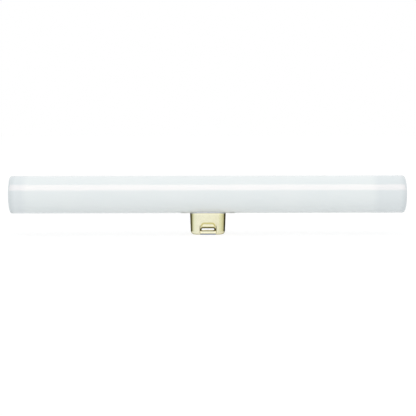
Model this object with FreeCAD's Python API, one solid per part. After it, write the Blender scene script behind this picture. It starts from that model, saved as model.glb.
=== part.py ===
"""Single-capped tubular lamp: a sealed opal glass tube on one oblong brass peg in the middle of its length.

The lamp stands on its peg. X runs along the tube, -Y is the front, and Z = 0 is the foot of the peg.
Lengths are in millimetres and angles in degrees.
"""
import FreeCAD
import Part
import math
import os

V = FreeCAD.Vector

# Sealed glass tube
tube_length = 300.0
tube_diameter = 28.4
end_crown = 1.5
end_rounding = 1.7
neck_length = 17.6
neck_width = 8.0
neck_reach = 5.9
neck_chamfer = 1.2

# Brass peg shell, drawn from sheet
cap_height = 15.9
cap_length = 25.7
cap_width = 13.0
cap_draft = 2.4
sheet = 0.4
foot_rounding = 2.5
rim_width = 3.3
saddle_gap = 0.12
saddle_radius = 45.0

# Latch pocket pressed into each broad side
pocket_width = 12.4
pocket_depth = 1.1
pocket_top = 8.8
side_slope = 0.25
ramp_height = 2.25
floor_corner = 2.2
corner_flare = 0.6

# Latch window in the pocket's floor, its edge drawn inwards, and the bar below it
window_width = 9.8
window_top = 4.8
window_corner = 1.0
lip_radius = 0.9
lip_margin = 0.05
collar_wall = 0.6
collar_cover = 0.1
bar_top = 2.65
bar_foot = 0.85

# Cement that holds the glass neck in the shell
cement_depth = 4.6
cement_recess = 0.15
bond_gap = 0.03

# Insulating foot
foot_recess = 0.1
insulator_sill = 0.75
well_depth = 0.6
wire_clearance = 0.15

# Contact plates, lead wires and solder
contact_spacing = 12.2
plate_length = 5.6
plate_width = 4.6
plate_thickness = 0.5
wire_diameter = 0.6
solder_radius = 1.35
solder_height = 0.5
solder_cover = 0.25

# Worked out from the sizes above
tube_radius = tube_diameter / 2
axis_height = cap_height + tube_radius
neck_foot = cap_height - neck_reach
ramp_slope = ramp_height / pocket_depth
floor_reach = cap_width / 2 - pocket_depth
floor_half_width = pocket_width / 2 - side_slope * pocket_depth
insulator_top = bar_top - insulator_sill
plate_foot = foot_recess + well_depth
plate_top = plate_foot + plate_thickness
contact_places = {"left": -contact_spacing / 2, "right": contact_spacing / 2}

# Flat steps that stand for a quarter round
foot_steps = 4
end_steps = 3
corner_steps = 3
bead_steps = 3

# Lengths past the faces that a cut has to clear
PAST = 2.0


def stadium(length, width, z):
    """Closed outline at height z with straight sides and round ends, its long way along X."""
    radius = width / 2
    straight = length / 2 - radius
    corners = [
        V(-straight, -radius, z),
        V(straight, -radius, z),
        V(straight, radius, z),
        V(-straight, radius, z),
    ]
    return Part.Wire([
        Part.makeLine(corners[0], corners[1]),
        Part.Arc(corners[1], V(straight + radius, 0, z), corners[2]).toShape(),
        Part.makeLine(corners[2], corners[3]),
        Part.Arc(corners[3], V(-straight - radius, 0, z), corners[0]).toShape(),
    ])


def stadium_block(length, width, low, high, x=0.0):
    """Upright block with a stadium outline, from height low to height high."""
    block = Part.Face(stadium(length, width, low)).extrude(V(0, 0, high - low))
    block.translate(V(x, 0, 0))
    return block


def edges_at(shape, z):
    """The edges that lie wholly at height z."""
    flat = []
    for edge in shape.Edges:
        box = edge.BoundBox
        if abs(box.ZMin - z) < 1e-4 and abs(box.ZMax - z) < 1e-4:
            flat.append(edge)
    return flat


def cap_outline(z, inset):
    """Outline of the drafted peg at height z, moved inwards by inset."""
    spread = 2 * z * math.tan(math.radians(cap_draft)) - 2 * inset
    return stadium(cap_length + spread, cap_width + spread, z)


def cap_block(low, high, inset, rounding):
    """The peg's drafted body between two heights, moved inwards by inset, its foot rounded in fine flat steps."""
    sections = []
    if rounding > 0:
        for step in range(foot_steps):
            angle = math.radians(90 * step / foot_steps)
            rise = rounding * (1 - math.cos(angle))
            sections.append(cap_outline(low + rise, inset + rounding * (1 - math.sin(angle))))
    sections.append(cap_outline(low + rounding, inset))
    sections.append(cap_outline(high, inset))
    return Part.makeLoft(sections, True, True)


def lying_cylinder(radius, gap):
    """Cylinder along X whose lowest line lies gap below the top of the peg."""
    start = V(-tube_length / 2, 0, cap_height - gap + radius)
    return Part.makeCylinder(radius, tube_length, start, V(1, 0, 0))


def neck_body(gap):
    """The flattened neck that carries the lead wires out of the glass, gap larger all round."""
    block = stadium_block(neck_length + 2 * gap, neck_width + 2 * gap, neck_foot - gap, axis_height)
    return block.makeChamfer(neck_chamfer, edges_at(block, neck_foot - gap))


def front_and_back(solid):
    """The solid and its copy turned half round the peg's axis."""
    turned = solid.copy()
    turned.rotate(V(0, 0, 0), V(0, 0, 1), 180)
    return [solid, turned]


def arch(half_width, low, high, corner, y):
    """Closed outline in an upright plane at y, square at its foot and rounded at its top corners."""
    diagonal = corner * (1 - math.sqrt(0.5))
    points = [
        V(-half_width, y, low),
        V(half_width, y, low),
        V(half_width, y, high - corner),
        V(half_width - corner, y, high),
        V(-half_width + corner, y, high),
        V(-half_width, y, high - corner),
    ]
    right = V(half_width - diagonal, y, high - diagonal)
    left = V(-half_width + diagonal, y, high - diagonal)
    return Part.Wire([
        Part.makeLine(points[0], points[1]),
        Part.makeLine(points[1], points[2]),
        Part.Arc(points[2], right, points[3]).toShape(),
        Part.makeLine(points[3], points[4]),
        Part.Arc(points[4], left, points[5]).toShape(),
        Part.makeLine(points[5], points[0]),
    ])


def stepped_arch(half_width, low, high, corner, y):
    """The same outline with its corners rounded in fine flat steps, for a face that lies inside the peg."""
    right = []
    reach = corner / math.cos(math.radians(45 / corner_steps))
    for step in range(corner_steps):
        angle = math.radians(90 * (step + 0.5) / corner_steps)
        right.append(V(
            half_width - corner + reach * math.cos(angle), y,
            high - corner + reach * math.sin(angle),
        ))
    left = [V(-point.x, y, point.z) for point in reversed(right)]
    points = [V(-half_width, y, low), V(half_width, y, low), *right, *left]
    return Part.makePolygon([*points, points[0]])


def pocket_outline(depth, grow, outline):
    """The latch pocket's outline at a depth behind the front of the foot, with its walls moved out by grow."""
    side_grow = grow * math.sqrt(1 + side_slope ** 2)
    ramp_grow = grow * math.sqrt(1 + ramp_slope ** 2)
    half_width = pocket_width / 2 - side_slope * depth + side_grow
    high = pocket_top - ramp_slope * depth + ramp_grow
    corner = floor_corner + corner_flare * (pocket_depth - depth) + side_grow
    return outline(half_width, -PAST, high, corner, depth - cap_width / 2)


def pocket(grow, outline):
    """The pressed pocket as a solid: a slanting ramp at its top, steep sides and a flat floor."""
    outside = pocket_outline(-cap_width / 4, grow, outline)
    floor = pocket_outline(pocket_depth + grow, grow, outline)
    return Part.makeLoft([outside, floor], True, True)


def window_block(spread, start, end):
    """Block with the latch window's outline, spread larger at its top and sides, from y start to y end."""
    outline = arch(
        window_width / 2 + spread, bar_top, window_top + spread, window_corner + spread, start,
    )
    return Part.Face(outline).extrude(V(0, end - start, 0))


def window_lips(opening):
    """The edges where the window's sides and top leave the floor of either pocket."""
    lips = []
    for edge in opening.Edges:
        box = edge.BoundBox
        in_floor = abs(abs(box.YMin) - floor_reach) < 1e-3 and box.YLength < 1e-3
        inside = max(-box.XMin, box.XMax) < window_width / 2 + lip_margin and box.ZMax < window_top + lip_margin
        if in_floor and inside and box.ZMax > bar_top + lip_margin:
            lips.append(edge)
    return lips


def through_window():
    """The window's opening through both broad sides, widening round its lips towards each pocket."""
    straight = window_block(0, -cap_width, cap_width)
    mouth = window_block(lip_radius + lip_margin, -cap_width, -floor_reach)
    opening = straight
    for part in front_and_back(mouth):
        opening = opening.fuse(part)
    opening = opening.removeSplitter()
    return opening.makeFillet(lip_radius, window_lips(opening))


def window_collar():
    """Sheet drawn inwards round the top and sides of the front window."""
    start = sheet / 2 - floor_reach
    end = lip_radius + collar_cover - floor_reach
    return window_block(collar_wall, start, end)


def key_block(gap, low, high):
    """The insulator's middle, which reaches to the floor of both pockets below the bars."""
    half_width = floor_half_width - gap
    return Part.makeBox(
        2 * half_width, 2 * floor_reach, high - low,
        V(-half_width, -floor_reach, low),
    )


def cut_all(shape, tools):
    for tool in tools:
        shape = shape.cut(tool)
    return shape


def opal_tube():
    """The glass tube with its closed ends and its neck, sealed and filled."""
    crown_radius = (tube_radius ** 2 + end_crown ** 2) / (2 * end_crown)
    crown_centre = tube_length / 2 - crown_radius
    round_height = tube_radius - end_rounding
    round_centre = crown_centre + math.sqrt((crown_radius - end_rounding) ** 2 - round_height ** 2)
    meeting = math.atan2(round_height, round_centre - crown_centre)

    def at(x, height):
        return V(x, 0, axis_height + height)

    shoulder = []
    for step in range(end_steps + 1):
        angle = meeting + (math.pi / 2 - meeting) * step / end_steps
        shoulder.append(at(
            round_centre + end_rounding * math.cos(angle),
            round_height + end_rounding * math.sin(angle),
        ))
    crown = Part.Arc(
        at(tube_length / 2, 0),
        at(crown_centre + crown_radius * math.cos(meeting / 2), crown_radius * math.sin(meeting / 2)),
        shoulder[0],
    ).toShape()
    side = Part.makePolygon([*shoulder, at(0, tube_radius), at(0, 0), at(tube_length / 2, 0)])
    half = Part.Face(Part.Wire([crown, *side.Edges])).revolve(V(0, 0, axis_height), V(1, 0, 0), 360)
    glass = half.fuse(half.mirror(V(0, 0, 0), V(1, 0, 0)))
    return glass.fuse(neck_body(0)).removeSplitter()


def cap_shell():
    """One sheet of brass: drafted peg, turned-in foot, saddle top, and a pocket with a window on each side."""
    outer = cap_block(0, axis_height, 0, foot_rounding)
    inner = cap_block(sheet, axis_height, sheet, foot_rounding - sheet)
    outer = cut_all(outer, front_and_back(pocket(0, arch)))
    inner = cut_all(inner, front_and_back(pocket(sheet, stepped_arch)))
    opening = Part.Face(cap_outline(0, rim_width)).extrude(V(0, 0, 2 * sheet))
    opening.translate(V(0, 0, -sheet / 2))
    saddle = lying_cylinder(saddle_radius, saddle_gap)
    shell = cut_all(outer, [inner, opening, key_block(0, -PAST, bar_foot), saddle])
    for collar in front_and_back(window_collar()):
        shell = shell.fuse(collar)
    return shell.cut(through_window()).removeSplitter()


def cap_cement():
    """Cement between the neck and the shell, just below the shell's saddle."""
    low = cap_height - cement_depth
    fill = cap_block(low, axis_height, sheet + bond_gap, 0)
    keep_off = front_and_back(pocket(sheet + bond_gap, stepped_arch))
    saddle = lying_cylinder(saddle_radius, saddle_gap + cement_recess)
    return cut_all(fill, [*keep_off, neck_body(bond_gap), saddle])


def contact_well(x, gap):
    """Room for one contact plate, open at the foot."""
    return stadium_block(plate_length + 2 * gap, plate_width + 2 * gap, -PAST, plate_top + gap, x)


def contact_insulator():
    """Insulating foot moulded into the shell, with a well and a wire hole for each contact."""
    inset = sheet + bond_gap
    body = cap_block(inset, axis_height, inset, foot_rounding - inset)
    body = body.common(stadium_block(2 * cap_length, 2 * cap_width, 0, insulator_top))
    body = cut_all(body, front_and_back(pocket(inset, stepped_arch)))
    boss = Part.Face(cap_outline(foot_recess, rim_width + bond_gap)).extrude(V(0, 0, inset))
    key = key_block(bond_gap, foot_recess, bar_foot - bond_gap)
    key = key.cut(rim_ends())
    body = body.fuse(boss).fuse(key)
    for x in contact_places.values():
        hole = Part.makeCylinder(wire_diameter / 2 + wire_clearance, insulator_top + PAST, V(x, 0, 0))
        body = cut_all(body, [contact_well(x, bond_gap), hole])
    return body.removeSplitter()


def rim_ends():
    """What the turned-in rim keeps clear of the insulator's key at both ends."""
    rim = cap_block(0, sheet + bond_gap, 0, 0)
    opening = Part.Face(cap_outline(0, rim_width)).extrude(V(0, 0, sheet + bond_gap))
    return rim.cut(opening).cut(key_block(0, -PAST, bar_foot))


def contact_plate(x):
    """One stadium-shaped plate with a hole for its lead wire."""
    plate = stadium_block(plate_length, plate_width, plate_foot, plate_top, x)
    hole = Part.makeCylinder(wire_diameter / 2 + bond_gap, plate_top + PAST, V(x, 0, 0))
    return plate.cut(hole)


def lead_wire(x):
    """Wire from the underside of the neck, straight down through its contact and into the solder."""
    wire_foot = plate_foot - solder_height + solder_cover
    return Part.makeCylinder(wire_diameter / 2, neck_foot - wire_foot, V(x, 0, wire_foot))


def solder_bead(x):
    """Domed bead of solder under a contact plate, round the end of the wire."""
    ball_radius = (solder_radius ** 2 + solder_height ** 2) / (2 * solder_height)
    spread = math.asin(solder_radius / ball_radius)
    tip = plate_foot - solder_height
    dome = []
    for step in range(1, bead_steps + 1):
        angle = spread * step / bead_steps
        dome.append(V(x + ball_radius * math.sin(angle), 0, tip + ball_radius * (1 - math.cos(angle))))
    outline = Part.makePolygon([V(x, 0, dome[0].z), *dome, V(x, 0, plate_foot), V(x, 0, dome[0].z)])
    bead = Part.Face(outline).revolve(V(x, 0, 0), V(0, 0, 1), 360)
    return bead.cut(lead_wire(x))


def main():
    nodes = {
        "opal_tube": opal_tube(),
        "cap_shell": cap_shell(),
        "cap_cement": cap_cement(),
        "contact_insulator": contact_insulator(),
    }
    for side, x in contact_places.items():
        nodes["contact_plate_" + side] = contact_plate(x)
        nodes["lead_wire_" + side] = lead_wire(x)
        nodes["solder_bead_" + side] = solder_bead(x)
    os.makedirs("parts", exist_ok=True)
    for name, shape in nodes.items():
        shape.exportStep("parts/" + name + ".step")
        box = shape.BoundBox
        print(
            f"{name}: {len(shape.Solids)} solid, valid {shape.isValid()}, {shape.Volume:.2f} mm3, "
            f"z {box.ZMin:.3f} to {box.ZMax:.3f}"
        )


main()
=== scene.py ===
"""Looks of a single-capped tubular lamp: an opal glass tube on one oblong brass peg.

Everything is in metres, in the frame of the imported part: X along the tube, -Y the front, and Z up
from the peg's foot.
"""

import math

import bmesh
import bpy
import numpy as np
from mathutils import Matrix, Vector

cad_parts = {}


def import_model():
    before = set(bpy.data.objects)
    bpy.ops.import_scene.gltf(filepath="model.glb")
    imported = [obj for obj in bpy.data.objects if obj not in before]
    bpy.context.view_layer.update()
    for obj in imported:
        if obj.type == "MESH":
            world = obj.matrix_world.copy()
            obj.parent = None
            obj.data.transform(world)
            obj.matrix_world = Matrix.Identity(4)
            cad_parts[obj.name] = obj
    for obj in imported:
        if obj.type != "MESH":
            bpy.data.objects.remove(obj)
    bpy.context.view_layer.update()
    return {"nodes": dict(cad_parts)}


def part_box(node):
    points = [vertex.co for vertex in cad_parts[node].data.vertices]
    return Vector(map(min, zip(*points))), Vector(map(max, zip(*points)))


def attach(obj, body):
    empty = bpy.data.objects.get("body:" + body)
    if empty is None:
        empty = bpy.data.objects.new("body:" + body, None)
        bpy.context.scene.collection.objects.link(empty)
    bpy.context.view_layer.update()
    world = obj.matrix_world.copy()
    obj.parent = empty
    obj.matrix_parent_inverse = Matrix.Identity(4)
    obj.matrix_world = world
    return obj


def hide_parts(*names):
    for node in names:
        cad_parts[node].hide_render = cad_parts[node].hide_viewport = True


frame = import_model()
nodes = frame["nodes"]

MM = 0.001
ROUND_OFF = 1e-9

# The photograph's camera
VIEW_AZIMUTH = -1.5
VIEW_ELEVATION = 4.5
VIEW_DISTANCE = 1.0
VIEW_LENS = 114.5
AIM_BELOW_AXIS = 10.3 * MM
AIM_RIGHT = 0.08 * MM
SENSOR_WIDTH = 36.0

# The tube, and what its box doesn't say of its ends and its hidden neck
TUBE_LOW, TUBE_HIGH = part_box("opal_tube")
TUBE_RADIUS = (TUBE_HIGH.y - TUBE_LOW.y) / 2
TUBE_HALF = (TUBE_HIGH.x - TUBE_LOW.x) / 2
AXIS_HEIGHT = TUBE_HIGH.z - TUBE_RADIUS
END_CROWN = 1.5 * MM
END_ROUNDING = 1.7 * MM
NECK_LENGTH = 17.6 * MM
NECK_WIDTH = 8.0 * MM
NECK_CHAMFER = 1.2 * MM
NECK_TOP = AXIS_HEIGHT - 0.8 * TUBE_RADIUS

# How finely the tube is turned
TUBE_AROUND = 144
TUBE_SPANS = 72
CROWN_STEPS = 16
ROUNDING_STEPS = 12
NECK_ARC_STEPS = 16

# Where the tube turns greyer towards its ends
LEFT_SHADE = 10.0 * MM
RIGHT_SHADE = 22.0 * MM
SHADE_FADE = 5.0 * MM
# Where the painted shade on the rounded tips starts and where it is full, as distances back from
# the tip
TIP_SHADE = (6.0 * MM, 0.8 * MM)

# The peg's drawn sheet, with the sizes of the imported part
CAP_HEIGHT = 15.9 * MM
CAP_LENGTH = 25.7 * MM
CAP_WIDTH = 13.0 * MM
CAP_SPREAD = math.tan(math.radians(2.4))
SHEET = 0.4 * MM
FOOT_ROUNDING = 2.5 * MM
RIM_WIDTH = 3.3 * MM
SADDLE_FOOT = CAP_HEIGHT - 0.12 * MM
SADDLE_RADIUS = 45.0 * MM
STRAIGHT_HALF = (CAP_LENGTH - CAP_WIDTH) / 2
TOP_RADIUS = CAP_WIDTH / 2 + CAP_HEIGHT * CAP_SPREAD
EDGE_BEVEL = 0.07 * MM
EDGE_ANGLE = math.radians(50)

# The pockets, with a ramp above and flared corners, and the bars under their windows
POCKET_WIDTH = 12.4 * MM
POCKET_DEPTH = 1.1 * MM
POCKET_TOP = 8.8 * MM
SIDE_SLOPE = 0.25
RAMP_SLOPE = 2.25 / 1.1
FLOOR_CORNER = 2.2 * MM
CORNER_FLARE = 0.6
NO_DEPTH = -2.0 * MM
DEPTH_HALVINGS = 15
CREASE_ROUNDING = 0.22 * MM
CREASE_RINGS = ((CREASE_ROUNDING / 2, 6), (CREASE_ROUNDING, 10))
KEY_HALF_WIDTH = POCKET_WIDTH / 2 - SIDE_SLOPE * POCKET_DEPTH
BAR_TOP = 2.65 * MM
BAR_FOOT = 0.85 * MM
BAR_LEAN = math.tan(math.radians(5.6))
BAR_END_FADE = 1.0 * MM

# The windows, whose lip turns inwards and fades out at the bar
WINDOW_HALF_WIDTH = 4.9 * MM
WINDOW_TOP = 4.8 * MM
WINDOW_CORNER = 1.0 * MM
LIP_RADIUS = 0.9 * MM
LIP_FADE = 0.5 * MM
COLLAR_REACH = 0.2 * MM

# Which places of the shell's mesh are pressed, and which are drawn onto the window's outline
BROAD_HALF = STRAIGHT_HALF + 0.9 * MM
BROAD_FACING = 0.7
BROAD_TOP = POCKET_TOP + 1.2 * MM
OUTLINE_CATCH = 0.35 * MM
OUTLINE_NEAR = 0.02 * MM
SLOPE_STEP = 0.01 * MM
LEAST_SLOPE = 1e-6
SLOT_NEAR = 0.01 * MM
MERGE_DISTANCE = 0.004 * MM

# How many columns and rows the shell's mesh has in each stretch
KEY_COLUMNS = 40
KEY_EDGE_COLUMNS = (0.06 * MM, 0.03 * MM)
SHOULDER_COLUMNS = 10
FINE_TURNS = (0.6, 1.2, 1.8, 2.6, 3.6, 5, 7, 10, 14, 18.5)
EVEN_TURNS_FROM = 23
EVEN_TURNS = 15
SPLIT_HEIGHT = 10.0 * MM
SADDLE_ROWS = 14
RAMP_HEAD = POCKET_TOP + 0.6 * MM
WINDOW_HEAD = WINDOW_TOP + 1.2 * MM
ROW_BANDS = (
    (SPLIT_HEIGHT, RAMP_HEAD, 4), (RAMP_HEAD, WINDOW_HEAD, 22),
    (WINDOW_HEAD, BAR_TOP, 26), (BAR_TOP, FOOT_ROUNDING, 2),
)
BAR_ROWS = 5
FOOT_ROWS = 9
RIM_ROWS = 3

# Section of the cement's fillet: inset in mm, share of the way to the glass, and lift in mm
FILLET_SECTION = (
    (0.46, 0.0, -0.35), (0.47, 0.0, -0.02), (0.52, 0.2, 0.0), (0.60, 0.45, 0.0), (0.74, 0.7, 0.0),
    (0.94, 0.88, 0.0), (1.20, 1.0, 0.05), (2.2, 1.0, 0.1), (2.2, 0.0, -0.35),
)
FILLET_ARC_STEPS = 40

# Painted shade in the pocket's crease, on the bar's edge and towards the floor
CREASE_HALF_WIDTH = 4.9 * MM
CREASE_CORNER = 2.2 * MM
CREASE_SPREAD = 0.55 * MM
CREASE_FOOT = WINDOW_TOP + 0.7 * MM
CREASE_FADE = 1.4 * MM
BAR_SHADE = 0.15
BAR_SHADE_SPREAD = 0.35 * MM
FOOT_SHADE = 0.12
FOOT_SHADE_HEIGHT = 0.6 * FOOT_ROUNDING

# Where the brass is warmer, where painted highlights brighten it, and where painted shade darkens
# it round the window and on its lip: spans of X, of Z and of the gap to the window
WARMER_X = (-6.0 * MM, 12.0 * MM)
HIGHLIGHT_BAR_X = (5.8 * MM, 6.0 * MM)
HIGHLIGHT_BAR_Z = (BAR_TOP - 0.3 * MM, BAR_TOP)
HIGHLIGHT_RAMP_X = (4.4 * MM, 5.2 * MM)
HIGHLIGHT_RAMP_Z = (6.3 * MM, 6.6 * MM, 6.9 * MM, 7.5 * MM)
HIGHLIGHT_TOP_Z = (15.0 * MM, 15.3 * MM, 15.7 * MM, 16.0 * MM)
ABOVE_BAR_Z = (BAR_TOP - 0.1 * MM, BAR_TOP + 0.6 * MM)
SIDE_SHADE_X = (5.2 * MM, 5.8 * MM)
SIDE_SHADE_GAP = (1.0 * MM, 1.7 * MM)
LIP_SHADE_GAP = (0.8 * MM, 1.25 * MM)

# The span of values that nearly all of a noise keeps to
NOISE_SPAN = (0.3, 0.7)

# The world and the floor: its grey as light sees it, and its glow and grey as the camera does
WORLD_LIGHT = 0.9
FLOOR_GREY = 0.89
FLOOR_GLOW = 0.76
FLOOR_LIT = 0.27
FLOOR_SIZE = 6

# Two soft lamps, and a strip light that only gloss sees
TOP_LAMP_PLACE = (0, -0.1, 1.2)
TOP_LAMP_SIZE = (1.4, 1.0)
TOP_LAMP_POWER = 1.5
FRONT_LAMP_PLACE = (0, -1.2, 0.65)
FRONT_LAMP_SIZE = (1.2, 0.8)
FRONT_LAMP_POWER = 1.55
STRIP_STRENGTH = 4.3
STRIP_COLOUR = (1.0, 0.72, 0.68, 1.0)
STRIP_LENGTH = 2.4
STRIP_WIDTH = 0.457
STRIP_DISTANCE = 0.7
STRIP_RISE = math.radians(47.2)

# The side flags' places, and their tones: a turn in degrees from the front, and a colour
END_RADIUS = 7.0 * MM
FLAG_RADIUS = 14.0 * MM
FLAG_FOOT = 0.3 * MM
FLAG_TOP = 15.8 * MM
FLAG_STEPS = 60
LEFT_TONES = (
    (30, (1.0, 1.0, 1.0)), (56, (0.97, 0.98, 0.95)), (68, (0.90, 0.93, 0.86)),
    (82, (0.77, 0.78, 0.64)), (98, (0.52, 0.51, 0.35)), (107, (0.11, 0.10, 0.045)),
    (150, (0.08, 0.07, 0.035)), (178, (0.90, 0.90, 0.86)),
)
RIGHT_TONES = (
    (30, (0.96, 0.97, 0.90)), (52, (0.92, 0.935, 0.81)), (62, (0.87, 0.89, 0.72)),
    (75, (0.79, 0.79, 0.62)), (90, (0.70, 0.69, 0.53)), (104, (0.50, 0.47, 0.33)),
    (108, (0.03, 0.028, 0.013)), (150, (0.03, 0.028, 0.014)), (178, (0.90, 0.90, 0.86)),
)

# How many degrees later the tones come at the flags' foot
LEFT_FOOT_TURN = 13
RIGHT_FOOT_TURN = 5


# Mesh helpers

def new_object(name, data):
    """An object of the scene that shows a mesh, a lamp or a camera."""
    made = bpy.data.objects.new(name, data)
    bpy.context.scene.collection.objects.link(made)
    return made


def mesh_object(name, edit, smooth):
    """Turn an edited mesh into an object."""
    mesh = bpy.data.meshes.new(name)
    edit.to_mesh(mesh)
    edit.free()
    for polygon in mesh.polygons:
        polygon.use_smooth = smooth
    return new_object(name, mesh)


def finish_mesh(name, edit, smooth=True):
    """Turn an edited mesh into an object whose faces all look outwards."""
    bmesh.ops.recalc_face_normals(edit, faces=edit.faces[:])
    return mesh_object(name, edit, smooth)


def ring_strip(edit, lower, upper):
    """Quads between two closed loops with as many vertices each."""
    count = len(lower)
    for i in range(count):
        j = (i + 1) % count
        edit.faces.new((lower[i], lower[j], upper[j], upper[i]))


def stadium_points(straight, radius, arc_steps):
    """Points (x, y) round a stadium with that half length of its straight sides."""
    points = []
    for side in (1, -1):
        for step in range(arc_steps + 1):
            angle = math.radians(-90 + 180 * step / arc_steps)
            x, y = straight + radius * math.cos(angle), radius * math.sin(angle)
            points.append((side * x, side * y))
    return points


def stretch(start, end, steps):
    """Even places after the start, up to the end."""
    return [start + (end - start) * (i + 1) / steps for i in range(steps)]


# Glass tube

def end_profile():
    """Points (x, radius) from the tip of the +X end to the start of its straight side."""
    crown_radius = (TUBE_RADIUS ** 2 + END_CROWN ** 2) / (2 * END_CROWN)
    crown_centre = TUBE_HALF - crown_radius
    round_height = TUBE_RADIUS - END_ROUNDING
    round_reach = math.sqrt((crown_radius - END_ROUNDING) ** 2 - round_height ** 2)
    round_centre = crown_centre + round_reach
    meeting = math.atan2(round_height, round_reach)
    points = []
    for angle in stretch(0, meeting, CROWN_STEPS):
        reach = crown_radius * math.cos(angle)
        points.append((crown_centre + reach, crown_radius * math.sin(angle)))
    for angle in stretch(meeting, math.pi / 2, ROUNDING_STEPS):
        reach = END_ROUNDING * math.cos(angle)
        points.append((round_centre + reach, round_height + END_ROUNDING * math.sin(angle)))
    return points


def add_neck(edit):
    """The tube's hidden neck, which goes down into the cap."""
    straight = (NECK_LENGTH - NECK_WIDTH) / 2
    foot = TUBE_LOW.z
    loops = []
    for z, inset in ((foot, NECK_CHAMFER), (foot + NECK_CHAMFER, 0), (NECK_TOP, 0)):
        outline = stadium_points(straight, NECK_WIDTH / 2 - inset, NECK_ARC_STEPS)
        loops.append([edit.verts.new((x, y, z)) for x, y in outline])
    for lower, upper in zip(loops, loops[1:]):
        ring_strip(edit, lower, upper)
    edit.faces.new(list(reversed(loops[0])))
    edit.faces.new(loops[-1])


def glass_tube():
    """The sealed tube as one finely turned surface, with its neck below."""
    edit = bmesh.new()
    right = end_profile()
    start = right[-1][0]
    rings = right + [(x, TUBE_RADIUS) for x in stretch(start, -start, TUBE_SPANS)[:-1]]
    rings += [(-x, radius) for x, radius in reversed(right)]
    loops = []
    for x, radius in rings:
        loop = []
        for i in range(TUBE_AROUND):
            angle = 2 * math.pi * i / TUBE_AROUND
            y, z = radius * math.cos(angle), AXIS_HEIGHT + radius * math.sin(angle)
            loop.append(edit.verts.new((x, y, z)))
        loops.append(loop)
    for lower, upper in zip(loops, loops[1:]):
        ring_strip(edit, lower, upper)
    for loop, x in ((loops[0], TUBE_HALF), (loops[-1], -TUBE_HALF)):
        tip = edit.verts.new((x, 0, AXIS_HEIGHT))
        for i in range(TUBE_AROUND):
            edit.faces.new((tip, loop[i], loop[(i + 1) % TUBE_AROUND]))
    add_neck(edit)
    return finish_mesh("opal_glass_tube", edit)


# Brass shell

def arch_distance(x, z, half_width, top, corner):
    """Signed distance from an arch that has no foot; below zero is inside."""
    across = np.abs(x) - (half_width - corner)
    up = z - (top - corner)
    outside = np.hypot(np.maximum(across, 0), np.maximum(up, 0))
    return outside + np.minimum(np.maximum(across, up), 0) - corner


def window_distance(x, z):
    """Signed distance from the window's outline."""
    return arch_distance(x, z, WINDOW_HALF_WIDTH, WINDOW_TOP, WINDOW_CORNER)


def push_from_window(x, z, amount):
    """Points moved straight away from the window's outline by an amount each."""
    right, left = window_distance(x + SLOPE_STEP, z), window_distance(x - SLOPE_STEP, z)
    above, below = window_distance(x, z + SLOPE_STEP), window_distance(x, z - SLOPE_STEP)
    slope_x, slope_z = (right - left) / (2 * SLOPE_STEP), (above - below) / (2 * SLOPE_STEP)
    size = np.maximum(np.hypot(slope_x, slope_z), LEAST_SLOPE)
    return x + amount * slope_x / size, z + amount * slope_z / size


def pocket_depth(x, z):
    """How far the pocket reaches behind the foot's front, at places on the broad side."""
    def reached(depth):
        corner = FLOOR_CORNER + CORNER_FLARE * (POCKET_DEPTH - depth)
        half_width, top = POCKET_WIDTH / 2 - SIDE_SLOPE * depth, POCKET_TOP - RAMP_SLOPE * depth
        return arch_distance(x, z, half_width, top, corner) <= 0

    shallow = np.where(reached(POCKET_DEPTH), POCKET_DEPTH, NO_DEPTH)
    deep = np.full(x.shape, POCKET_DEPTH)
    for _ in range(DEPTH_HALVINGS):
        middle = (shallow + deep) / 2
        inside = reached(middle)
        shallow, deep = np.where(inside, middle, shallow), np.where(inside, deep, middle)
    return shallow


def sharp_reach(x, z, inset):
    """Distance of the pressed sheet from the peg's middle plane, with sharp creases."""
    half_width = CAP_WIDTH / 2 + z * CAP_SPREAD - inset
    beyond = np.maximum(np.abs(x) - STRAIGHT_HALF, 0)
    wall = np.sqrt(np.maximum(half_width ** 2 - beyond ** 2, 0))
    return np.minimum(wall, CAP_WIDTH / 2 - pocket_depth(x, z))


def pressed_reach(x, z, inset):
    """The same with rounded creases: its mean over two rings round each place."""
    shifts = [(0.0, 0.0)]
    for radius, count in CREASE_RINGS:
        for i in range(count):
            angle = 2 * math.pi * (i + 0.5) / count
            shifts.append((radius * math.cos(angle), radius * math.sin(angle)))
    return sum(sharp_reach(x + dx, z + dz, inset) for dx, dz in shifts) / len(shifts)


def saddle_height(y):
    """Height of the shell's saddle edge at a distance from the middle plane."""
    return SADDLE_FOOT + SADDLE_RADIUS - np.sqrt(SADDLE_RADIUS ** 2 - y ** 2)


def near(distance, width):
    """1 on a line, fading away on both sides of it over that width."""
    return np.exp(-(distance / width) ** 2)


def foot_shade(z):
    """Painted shade: the lower rounding of the foot darkens towards the floor, as the floor's
    contact shadow would show in it.
    """
    return FOOT_SHADE * np.clip(1 - z / FOOT_SHADE_HEIGHT, 0, 1)


def shade_mask(x, z):
    """Painted shade: from 0 on plain sheet to 1 on the pocket's arch, a little on the bar's edge,
    and the foot's darkening towards the floor.
    """
    distance = arch_distance(x, z, CREASE_HALF_WIDTH, POCKET_TOP, CREASE_CORNER)
    crease = near(distance, CREASE_SPREAD) * np.clip((z - CREASE_FOOT) / CREASE_FADE, 0, 1)
    bar = BAR_SHADE * near(z - BAR_TOP, BAR_SHADE_SPREAD) * (np.abs(x) < WINDOW_HALF_WIDTH)
    return np.maximum.reduce([crease, bar, foot_shade(z)])


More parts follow.
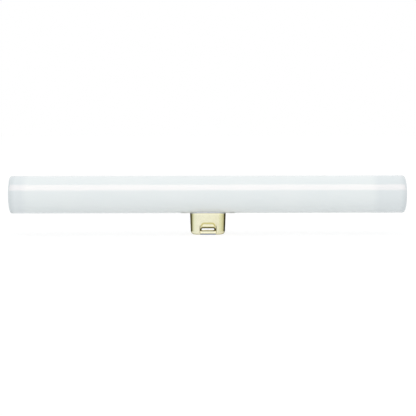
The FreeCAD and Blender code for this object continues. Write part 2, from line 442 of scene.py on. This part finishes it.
def shell_columns():
    """Places round the stadium outline, each a centre x and a direction outwards."""
    half = [0.0, *stretch(0, KEY_HALF_WIDTH, KEY_COLUMNS)[:-1]]
    half += [KEY_HALF_WIDTH - before for before in KEY_EDGE_COLUMNS] + [KEY_HALF_WIDTH]
    half += stretch(KEY_HALF_WIDTH, STRAIGHT_HALF, SHOULDER_COLUMNS)
    straight = [-x for x in reversed(half[1:])] + half
    turns = [*FINE_TURNS, EVEN_TURNS_FROM, *stretch(EVEN_TURNS_FROM, 90, EVEN_TURNS)]
    turns += [180 - turn for turn in reversed(turns[:-1])]
    columns = []
    for side in (1, -1):
        columns += [(side * x, 0.0, -side) for x in straight]
        for turn in turns:
            angle = math.radians(turn - 90 * side)
            columns.append((side * STRAIGHT_HALF, math.cos(angle), math.sin(angle)))
    return np.array(columns)


def shell_rows():
    """Rows from the saddle down to the rim's edge: (share of the upper part, z, inset)."""
    rows = [(1 - i / SADDLE_ROWS, SPLIT_HEIGHT, 0.0) for i in range(SADDLE_ROWS + 1)]
    for high, low, count in ROW_BANDS:
        rows += [(0.0, z, 0.0) for z in stretch(high, low, count)]
    bar_angle = math.asin(1 - BAR_FOOT / FOOT_ROUNDING)
    angles = stretch(0, bar_angle, BAR_ROWS) + stretch(bar_angle, math.pi / 2, FOOT_ROWS)
    for angle in angles:
        z, inset = FOOT_ROUNDING * (1 - math.sin(angle)), FOOT_ROUNDING * (1 - math.cos(angle))
        rows.append((0.0, z, inset))
    rows += [(0.0, 0.0, inset) for inset in stretch(FOOT_ROUNDING, RIM_WIDTH, RIM_ROWS)]
    return rows


def shell_row(columns, share, level, inset):
    """One row round the peg: x, y, z and painted shade of each of its places."""
    centre, out_x, out_y = columns.T
    z = level + share * (saddle_height(TOP_RADIUS * out_y) - level)
    half_width = CAP_WIDTH / 2 + z * CAP_SPREAD - inset
    x, y = centre + out_x * half_width, out_y * half_width
    broad = (np.abs(x) < BROAD_HALF) & (np.abs(out_y) > BROAD_FACING) & (z < BROAD_TOP)

    distance = window_distance(x, z)
    caught = (z >= BAR_TOP - ROUND_OFF) & (distance < 0) & (distance > -OUTLINE_CATCH)
    x, z = push_from_window(x, z, np.where(broad & caught, -distance, 0))

    distance = window_distance(x, z)
    drawn = np.clip((z - BAR_TOP) / LIP_FADE, 0, 1)
    drawn = np.where(broad & (distance < LIP_RADIUS), drawn * drawn * (3 - 2 * drawn), 0)
    away = np.clip(distance, 0, LIP_RADIUS)
    turn = (1 - away / LIP_RADIUS) * math.pi / 2
    x, z = push_from_window(x, z, drawn * (LIP_RADIUS * (1 - np.sin(turn)) - away))

    bar_end = np.clip((KEY_HALF_WIDTH - np.abs(x)) / BAR_END_FADE, 0, 1)
    lean = BAR_LEAN * np.maximum(BAR_TOP - z, 0) * bar_end
    reach = pressed_reach(x, z, inset) - lean - drawn * LIP_RADIUS * (1 - np.cos(turn))
    y = np.where(broad, np.sign(out_y) * reach, y)
    return x, y, z, np.where(broad, shade_mask(x, z), foot_shade(z))


def sheet_faces(x, y, z, painted_shade):
    """The sheet's outer face, open at the windows and at the slot under each bar."""
    edit = bmesh.new()
    # Each corner keeps its painted shade in a layer
    tone = edit.verts.layers.float.new("painted_shade")
    row_count, column_count = x.shape
    hole = np.maximum(window_distance(x, z), BAR_TOP - z)
    slot = np.abs(x) < KEY_HALF_WIDTH - SLOT_NEAR
    verts = {}

    def vert(place):
        if place not in verts:
            verts[place] = edit.verts.new((x[place], y[place], z[place]))
            verts[place][tone] = float(painted_shade[place])
        return verts[place]

    for i in range(row_count - 1):
        for j in range(column_count):
            k = (j + 1) % column_count
            corners = ((i, j), (i + 1, j), (i + 1, k), (i, k))
            if max(hole[c] for c in corners) < MERGE_DISTANCE:
                continue
            below_bar = max(z[c] for c in corners) < BAR_FOOT + SLOT_NEAR
            if below_bar and (slot[i, j] or slot[i, k]):
                continue
            edit.faces.new([vert(c) for c in corners])
    return edit


def add_collar(edit):
    """Draw the window's edge a little further in, except at the bar."""
    def on_outline(v):
        return abs(window_distance(v.co.x, v.co.z)) < OUTLINE_NEAR

    edges = [e for e in edit.edges if e.is_boundary and all(on_outline(v) for v in e.verts)]
    for made in bmesh.ops.extrude_edge_only(edit, edges=edges)["geom"]:
        if isinstance(made, bmesh.types.BMVert):
            share = min(max((made.co.z - BAR_TOP) / LIP_FADE, 0), 1)
            made.co.y -= math.copysign(COLLAR_REACH * share, made.co.y)
    bmesh.ops.remove_doubles(edit, verts=edit.verts[:], dist=MERGE_DISTANCE)


def brass_shell():
    """The peg's sheet: saddle top, pressed pockets with lipped windows, foot and turned-in rim."""
    columns = shell_columns()
    made = [shell_row(columns, *row) for row in shell_rows()]
    edit = sheet_faces(*(np.array(grid) for grid in zip(*made)))
    add_collar(edit)
    piece = finish_mesh("brass_shell", edit)
    sheet = piece.modifiers.new("sheet", "SOLIDIFY")
    sheet.thickness = SHEET
    sheet.offset = -1
    sheet.use_even_offset = True
    sheet.material_offset = 1
    sheet.material_offset_rim = 0
    bevel = piece.modifiers.new("edges", "BEVEL")
    bevel.width = EDGE_BEVEL
    bevel.segments = 2
    bevel.limit_method = "ANGLE"
    bevel.angle_limit = EDGE_ANGLE
    return piece


# Cement

def cement_fillet():
    """The cement drawn up from just inside the shell's saddle edge to the glass above it."""
    edit = bmesh.new()
    loops = []
    for inset, share, lift in FILLET_SECTION:
        loop = []
        for x, y in stadium_points(STRAIGHT_HALF, TOP_RADIUS - inset * MM, FILLET_ARC_STEPS):
            saddle = saddle_height(y)
            glass = AXIS_HEIGHT - math.sqrt(TUBE_RADIUS ** 2 - y ** 2)
            loop.append(edit.verts.new((x, y, saddle + share * (glass - saddle) + lift * MM)))
        loops.append(loop)
    for lower, upper in zip(loops, loops[1:] + loops[:1]):
        ring_strip(edit, lower, upper)
    return finish_mesh("cement_fillet", edit)


# Materials

class Shader:
    """A material's node tree with short calls for what the looks need."""

    def __init__(self, name):
        self.material = bpy.data.materials.new(name)
        self.material.use_nodes = True
        self.tree = self.material.node_tree
        self.surface = self.tree.nodes["Principled BSDF"]
        self.place = self.node("ShaderNodeTexCoord").outputs["Object"]

    def node(self, kind, **settings):
        made = self.tree.nodes.new(kind)
        for key, value in settings.items():
            setattr(made, key, value)
        return made

    def feed(self, socket, value):
        """Link an output into a socket, or set a number or colour on it."""
        if isinstance(value, (int, float, tuple)):
            socket.default_value = value
        else:
            self.tree.links.new(value, socket)

    def noise(self, scale, detail=3.0, roughness=0.5):
        """Noise with about that many grains in a metre, even or along each axis, from 0 to 1."""
        mapping = self.node("ShaderNodeMapping")
        self.feed(mapping.inputs["Scale"], scale if isinstance(scale, tuple) else (scale,) * 3)
        self.feed(mapping.inputs["Vector"], self.place)
        made = self.node("ShaderNodeTexNoise")
        self.feed(made.inputs["Scale"], 1.0)
        self.feed(made.inputs["Detail"], detail)
        self.feed(made.inputs["Roughness"], roughness)
        self.feed(made.inputs["Vector"], mapping.outputs["Vector"])
        return made.outputs["Fac"]

    def along(self, axis):
        """The place along one of the object's own axes, in metres."""
        apart = self.node("ShaderNodeSeparateXYZ")
        self.feed(apart.inputs[0], self.place)
        return apart.outputs[axis]

    def math(self, operation, *values):
        made = self.node("ShaderNodeMath", operation=operation)
        for socket, value in zip(made.inputs, values):
            self.feed(socket, value)
        return made.outputs[0]

    def both(self, first, second):
        """One factor times another."""
        return self.math("MULTIPLY", first, second)

    def spread(self, value, low, high, to_low, to_high):
        """The value moved from one range to another, held inside it."""
        made = self.node("ShaderNodeMapRange")
        ends = {"From Min": low, "From Max": high, "To Min": to_low, "To Max": to_high}
        for key, number in ends.items():
            self.feed(made.inputs[key], number)
        self.feed(made.inputs["Value"], value)
        return made.outputs["Result"]

    def band(self, value, start, full, fading, end, most=1):
        """Rises from 0 to most between start and full, and falls back from fading to end."""
        rise = self.spread(value, start, full, 0, most)
        return self.both(rise, self.spread(value, fading, end, 1, 0))

    def window_gap(self):
        """Distance from the outline of the shell's windows, below zero inside it."""
        side, head = WINDOW_HALF_WIDTH - WINDOW_CORNER, WINDOW_TOP - WINDOW_CORNER
        across = self.math("SUBTRACT", self.math("ABSOLUTE", self.along("X")), side)
        up = self.math("SUBTRACT", self.along("Z"), head)
        beside, above = self.math("MAXIMUM", across, 0.0), self.math("MAXIMUM", up, 0.0)
        squares = self.math("ADD", self.both(beside, beside), self.both(above, above))
        inside = self.math("MINIMUM", self.math("MAXIMUM", across, up), 0.0)
        distance = self.math("ADD", self.math("SQRT", squares), inside)
        return self.math("SUBTRACT", distance, WINDOW_CORNER)

    def mix(self, factor, first, second):
        """Colour from first at 0 to second at 1."""
        made = self.node("ShaderNodeMix", data_type="RGBA")
        self.feed(made.inputs["Factor"], factor)
        self.feed(made.inputs[6], first)
        self.feed(made.inputs[7], second)
        return made.outputs[2]

    def bump(self, height, depth, after=None):
        """A bump of that depth in metres, over another one."""
        made = self.node("ShaderNodeBump")
        self.feed(made.inputs["Strength"], 1.0)
        self.feed(made.inputs["Distance"], depth)
        self.feed(made.inputs["Height"], height)
        if after is not None:
            self.feed(made.inputs["Normal"], after)
        return made.outputs["Normal"]

    def set(self, **values):
        """Values or links for the surface's sockets, with _ for a space."""
        for key, value in values.items():
            self.feed(self.surface.inputs[key.replace("_", " ")], value)


def opal_glass():
    """Glossy opal glass, faintly cloudy, greyer towards the ends, and with painted shade darkening
    its rounded tips.
    """
    coat, cloud = (0.80, 0.848, 0.855, 1), (0.82, 0.862, 0.866, 1)
    # The second colour here is the painted shade of the rounded tips
    greyer_ends, tip = (0.752, 0.80, 0.815, 1), (0.62, 0.67, 0.69, 1)
    s = Shader("opal_glass")
    x = s.along("X")
    tint = s.mix(s.spread(s.noise((30, 60, 60), 2.0), *NOISE_SPAN, 0, 1), coat, cloud)
    # The tube turns greyer over a fade near each end, further in on the right
    left_end, right_start = -TUBE_HALF + LEFT_SHADE, TUBE_HALF - RIGHT_SHADE - SHADE_FADE
    left = s.spread(x, left_end, left_end + SHADE_FADE, 1, 0)
    right = s.spread(x, right_start, right_start + SHADE_FADE, 0, 1)
    tint = s.mix(s.math("MAXIMUM", left, right), tint, greyer_ends)
    # Painted shade: the rounded tips darken towards the very end
    tip_start, tip_full = (TUBE_HALF - before for before in TIP_SHADE)
    tint = s.mix(s.spread(s.math("ABSOLUTE", x), tip_start, tip_full, 0, 1), tint, tip)
    s.set(
        Base_Color=tint,
        Roughness=s.spread(s.noise((220, 500, 500)), *NOISE_SPAN, 0.045, 0.085),
        IOR=1.5,
        Subsurface_Weight=0.12,
        Subsurface_Radius=(1.0, 1.0, 1.0),
        Subsurface_Scale=2.0 * MM,
        Normal=s.bump(s.noise((14, 160, 160), 2.0), 0.02 * MM),
    )
    return s.material


def brass():
    """Bright drawn brass, with painted highlights on the bar, in the pocket below the ramp and at
    the top edge, and painted shade: ochre in the pocket's crease, on the bar's edge and foot, and
    dark round the window and on its lip.
    """
    pale, pale_patch = (0.85, 0.84, 0.64, 1), (0.81, 0.79, 0.59, 1)
    warm, warm_patch = (0.82, 0.79, 0.56, 1), (0.78, 0.74, 0.51, 1)
    # The first colour is a painted highlight; the next two are painted shade, for the crease, bar
    # edge and foot, and round the window
    highlight_colour, ochre, side_shade_colour = (0.96, 0.94, 0.70, 1), (0.60, 0.53, 0.17, 1), (0.58, 0.51, 0.20, 1)
    # Painted shade on the window's lip: an ochre edge and a near-black turn
    lip_shade_edge, lip_shade = (0.55, 0.49, 0.19, 1), (0.075, 0.065, 0.02, 1)
    s = Shader("cap_brass")
    x, height = s.along("X"), s.along("Z")
    width = s.math("ABSOLUTE", x)

    grain = s.noise(260, 4.0, 0.6)
    patches = s.spread(grain, 0.35, 0.7, 0, 1)
    pale, warm = s.mix(patches, pale, pale_patch), s.mix(patches, warm, warm_patch)
    base = s.mix(s.spread(x, *WARMER_X, 0, 1), pale, warm)

    # Painted highlights: the bar's top, the pocket floor below the ramp and the top edge are
    # lightened
    bar = s.both(s.spread(height, *HIGHLIGHT_BAR_Z, 1, 0), s.spread(width, *HIGHLIGHT_BAR_X, 1, 0))
    ramp = s.both(s.band(height, *HIGHLIGHT_RAMP_Z), s.spread(width, *HIGHLIGHT_RAMP_X, 1, 0))
    top = s.band(height, *HIGHLIGHT_TOP_Z, most=0.5)
    base = s.mix(s.math("MAXIMUM", s.math("MAXIMUM", bar, ramp), top), base, highlight_colour)

    # Painted shade in the crease, on the bar's edge and at the foot, read from the sheet's layer
    painted_shade = s.node("ShaderNodeAttribute", attribute_name="painted_shade").outputs["Fac"]
    base = s.mix(painted_shade, base, ochre)

    gap, above_bar = s.window_gap(), s.spread(height, *ABOVE_BAR_Z, 0, 1)
    # Painted shade round the window's sides, above the bar
    side_shade = s.both(s.spread(gap, *SIDE_SHADE_GAP, 0.9, 0), s.spread(width, *SIDE_SHADE_X, 1, 0))
    base = s.mix(s.both(side_shade, above_bar), base, side_shade_colour)
    # Painted shade on the window's lip, darkest where it turns in
    lip = s.both(s.spread(gap, *LIP_SHADE_GAP, 1, 0), above_bar)
    base = s.mix(s.spread(lip, 0, 0.4, 0, 1), base, lip_shade_edge)
    base = s.mix(s.spread(lip, 0.3, 1, 0, 1), base, lip_shade)

    drawing_lines = s.bump(s.noise((900, 900, 9000), 2.0), 0.004 * MM)
    s.set(
        Base_Color=base,
        Metallic=1.0,
        Roughness=s.spread(grain, 0.3, 0.75, 0.16, 0.26),
        Specular_Tint=(0.20, 0.17, 0.08, 1),
        Normal=s.bump(s.noise(3500), 0.004 * MM, drawing_lines),
    )
    return s.material


def inner_brass():
    """The sheet's duller, blotched inner side."""
    s = Shader("cap_brass_inside")
    stains = s.noise(600, 4.0, 0.6)
    mixed = s.spread(stains, *NOISE_SPAN, 0, 1)
    s.set(
        Base_Color=s.mix(mixed, (0.80, 0.74, 0.46, 1), (0.70, 0.64, 0.37, 1)),
        Metallic=1.0,
        Roughness=s.spread(stains, *NOISE_SPAN, 0.18, 0.28),
        Normal=s.bump(s.noise(3000), 0.006 * MM),
    )
    return s.material


def insulator():
    """Moulded slate blue plastic with faint flow marks."""
    s = Shader("cap_insulator")
    flow = s.noise(500, 4.0)
    mixed = s.spread(flow, *NOISE_SPAN, 0, 1)
    s.set(
        Base_Color=s.mix(mixed, (0.11, 0.16, 0.28, 1), (0.15, 0.20, 0.33, 1)),
        Roughness=s.spread(flow, *NOISE_SPAN, 0.28, 0.42),
        IOR=1.5,
        Normal=s.bump(s.noise(2500), 0.006 * MM),
    )
    return s.material


def cement():
    """Pale matt cement with a fine grain."""
    s = Shader("cap_cement")
    grain = s.noise(3200, 6.0, 0.7)
    mixed = s.spread(grain, *NOISE_SPAN, 0, 1)
    s.set(
        Base_Color=s.mix(mixed, (0.66, 0.69, 0.72, 1), (0.79, 0.82, 0.86, 1)),
        Roughness=0.9,
        Normal=s.bump(grain, 0.06 * MM),
    )
    return s.material


def plain_metal(name, dark, light, smoothest, roughest):
    """Cloudy metal between two colours and two roughnesses."""
    s = Shader(name)
    clouds = s.noise(700, 4.0)
    s.set(
        Base_Color=s.mix(s.spread(clouds, *NOISE_SPAN, 0, 1), dark, light),
        Metallic=1.0,
        Roughness=s.spread(clouds, *NOISE_SPAN, smoothest, roughest),
        Normal=s.bump(s.noise(2200), 0.005 * MM),
    )
    return s.material


def dress(name, material):
    """Put a material in every slot of a carried-over node."""
    piece = nodes[name]
    if not piece.data.materials:
        piece.data.materials.append(material)
    for slot in piece.material_slots:
        slot.material = material


# Stage

def bare_material(name):
    """A material with nothing but its output: the material, its tree and the surface socket."""
    material = bpy.data.materials.new(name)
    material.use_nodes = True
    tree = material.node_tree
    tree.nodes.clear()
    return material, tree, tree.nodes.new("ShaderNodeOutputMaterial").inputs["Surface"]


def seen_ray(tree):
    """1 for rays from the camera, from gloss and through glass, and 0 for the rest."""
    path = tree.nodes.new("ShaderNodeLightPath")
    value = path.outputs["Is Camera Ray"]
    for other in ("Is Glossy Ray", "Is Transmission Ray"):
        larger = tree.nodes.new("ShaderNodeMath")
        larger.operation = "MAXIMUM"
        tree.links.new(value, larger.inputs[0])
        tree.links.new(path.outputs[other], larger.inputs[1])
        value = larger.outputs[0]
    return value


def paper(name):
    """White paper: seen, a glow that a faint shadow still darkens, and for light plain white."""
    material, tree, surface = bare_material(name)

    def diffuse(level):
        made = tree.nodes.new("ShaderNodeBsdfDiffuse")
        made.inputs["Color"].default_value = (level, level, level, 1.0)
        return made.outputs[0]

    glow = tree.nodes.new("ShaderNodeEmission")
    glow.inputs["Strength"].default_value = FLOOR_GLOW
    seen = tree.nodes.new("ShaderNodeAddShader")
    tree.links.new(glow.outputs[0], seen.inputs[0])
    tree.links.new(diffuse(FLOOR_LIT), seen.inputs[1])
    mixed = tree.nodes.new("ShaderNodeMixShader")
    tree.links.new(seen_ray(tree), mixed.inputs[0])
    tree.links.new(diffuse(FLOOR_GREY), mixed.inputs[1])
    tree.links.new(seen.outputs[0], mixed.inputs[2])
    tree.links.new(mixed.outputs[0], surface)
    return material


def plain_glow(name, colour, strength):
    """Light of one colour."""
    material, tree, surface = bare_material(name)
    glow = tree.nodes.new("ShaderNodeEmission")
    glow.inputs["Color"].default_value = colour
    glow.inputs["Strength"].default_value = strength
    tree.links.new(glow.outputs[0], surface)
    return material


def painted_glow(name, layer):
    """Light in the colour that a layer gives each corner."""
    material, tree, surface = bare_material(name)
    painted = tree.nodes.new("ShaderNodeAttribute")
    painted.attribute_name = layer
    glow = tree.nodes.new("ShaderNodeEmission")
    tree.links.new(painted.outputs["Color"], glow.inputs["Color"])
    tree.links.new(glow.outputs[0], surface)
    return material


def turn_to(item, place, facing, axis):
    """Put an object at a place, with one of its axes towards a point."""
    item.location = place
    item.rotation_euler = (Vector(facing) - Vector(place)).to_track_quat(axis, "Y").to_euler()


def flat_card(name, width, height, place, facing, material):
    """A rectangle of that size at a place, its face towards a point."""
    edit = bmesh.new()
    corners = [(-1, -1), (1, -1), (1, 1), (-1, 1)]
    edit.faces.new([edit.verts.new((x * width / 2, y * height / 2, 0)) for x, y in corners])
    card = mesh_object(name, edit, smooth=False)
    card.data.materials.append(material)
    turn_to(card, place, facing, "Z")
    return card


def only_reflected(card):
    """The card shows in reflections alone and throws neither light nor shadow."""
    card.visible_camera = False
    card.visible_diffuse = False
    card.visible_transmission = False
    card.visible_volume_scatter = False
    card.visible_shadow = False


def side_flags():
    """A low upright wall round each end of the peg, for its dark edges.

    Only gloss sees it. It is dark brown beside the back of each end, and pale in front and behind.
    """
    edit = bmesh.new()
    tone = edit.verts.layers.float_color.new("tone")
    for side, tones, foot_turn in (
        (-1, LEFT_TONES, LEFT_FOOT_TURN), (1, RIGHT_TONES, RIGHT_FOOT_TURN),
    ):
        known, colours = [turn for turn, _ in tones], np.array([colour for _, colour in tones])
        turns = np.linspace(known[0], known[-1], FLAG_STEPS)
        loops = []
        for turn in turns:
            half_turn = math.radians(turn / 2)
            bearing = 2 * half_turn - math.asin(END_RADIUS * math.sin(half_turn) / FLAG_RADIUS)
            x = side * (STRAIGHT_HALF + FLAG_RADIUS * math.sin(bearing))
            y = -FLAG_RADIUS * math.cos(bearing)
            pair = []
            for z, shift in ((FLAG_FOOT, foot_turn), (FLAG_TOP, 0)):
                pair.append(edit.verts.new((x, y, z)))
                colour = [np.interp(turn - shift, known, channel) for channel in colours.T]
                pair[-1][tone] = (*colour, 1.0)
            loops.append(pair)
        for first, second in zip(loops, loops[1:]):
            edit.faces.new((first[0], second[0], second[1], first[1]))
    flags = finish_mesh("side_flags", edit, smooth=False)
    flags.data.materials.append(painted_glow("flag_tone", "tone"))
    return flags


def world():
    """White all round, a little dimmer as light than as it is seen."""
    made = bpy.data.worlds.new("studio")
    bpy.context.scene.world = made
    made.use_nodes = True
    tree = made.node_tree
    background = tree.nodes["Background"]
    background.inputs["Color"].default_value = (1.0, 1.0, 1.0, 1.0)
    strength = tree.nodes.new("ShaderNodeMapRange")
    strength.inputs["To Min"].default_value = WORLD_LIGHT
    strength.inputs["To Max"].default_value = 1.0
    tree.links.new(seen_ray(tree), strength.inputs["Value"])
    tree.links.new(strength.outputs["Result"], background.inputs["Strength"])


def area_lamp(name, place, facing, size, power):
    """A soft lamp that is seen neither by the camera nor in gloss."""
    data = bpy.data.lights.new(name, "AREA")
    data.shape = "RECTANGLE"
    data.size, data.size_y = size
    data.energy = power
    lamp = new_object(name, data)
    turn_to(lamp, place, facing, "-Z")
    lamp.visible_glossy = False
    lamp.visible_camera = False


def camera():
    """The photograph's view."""
    data = bpy.data.cameras.new("camera")
    data.lens = VIEW_LENS
    data.sensor_width = SENSOR_WIDTH
    data.clip_start, data.clip_end = 0.01, 50
    made = new_object("camera", data)
    azimuth, elevation = math.radians(VIEW_AZIMUTH), math.radians(VIEW_ELEVATION)
    back = Vector((
        math.sin(azimuth) * math.cos(elevation),
        -math.cos(azimuth) * math.cos(elevation),
        math.sin(elevation),
    ))
    target = Vector((AIM_RIGHT, 0, AXIS_HEIGHT - AIM_BELOW_AXIS))
    made.location = target + back * VIEW_DISTANCE
    made.rotation_euler = (-back).to_track_quat("-Z", "Y").to_euler()
    bpy.context.scene.camera = made


# The lamp's pieces

tube = glass_tube()
tube.data.materials.append(opal_glass())
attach(tube, "root")
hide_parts("opal_tube")

shell = brass_shell()
shell.data.materials.append(brass())
shell.data.materials.append(inner_brass())
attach(shell, "root")
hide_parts("cap_shell")

putty = cement()
dress("cap_cement", putty)
fillet = cement_fillet()
fillet.data.materials.append(putty)
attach(fillet, "root")

dress("contact_insulator", insulator())
contact = plain_metal("contact_plate", (0.66, 0.56, 0.33, 1), (0.78, 0.68, 0.44, 1), 0.24, 0.38)
wire = plain_metal("lead_wire", (0.50, 0.45, 0.40, 1), (0.62, 0.56, 0.50, 1), 0.3, 0.45)
solder = plain_metal("solder", (0.50, 0.51, 0.52, 1), (0.66, 0.67, 0.68, 1), 0.22, 0.4)
for side in ("left", "right"):
    dress("contact_plate_" + side, contact)
    dress("lead_wire_" + side, wire)
    dress("solder_bead_" + side, solder)

# The studio round it

world()
centre = Vector((0, 0, AXIS_HEIGHT))
flat_card("floor", FLOOR_SIZE, FLOOR_SIZE, (0, 0, 0), (0, 0, 1), paper("floor_paper"))
area_lamp("soft_top", TOP_LAMP_PLACE, centre, TOP_LAMP_SIZE, TOP_LAMP_POWER)
area_lamp("soft_front", FRONT_LAMP_PLACE, centre, FRONT_LAMP_SIZE, FRONT_LAMP_POWER)
strip_forward = STRIP_DISTANCE * math.cos(STRIP_RISE)
strip_up = STRIP_DISTANCE * math.sin(STRIP_RISE)
only_reflected(flat_card(
    "light_strip", STRIP_LENGTH, STRIP_WIDTH, (0, -strip_forward, AXIS_HEIGHT + strip_up),
    centre, plain_glow("strip_light", STRIP_COLOUR, STRIP_STRENGTH),
))
only_reflected(side_flags())
camera()
bpy.context.scene.view_settings.view_transform = "Standard"
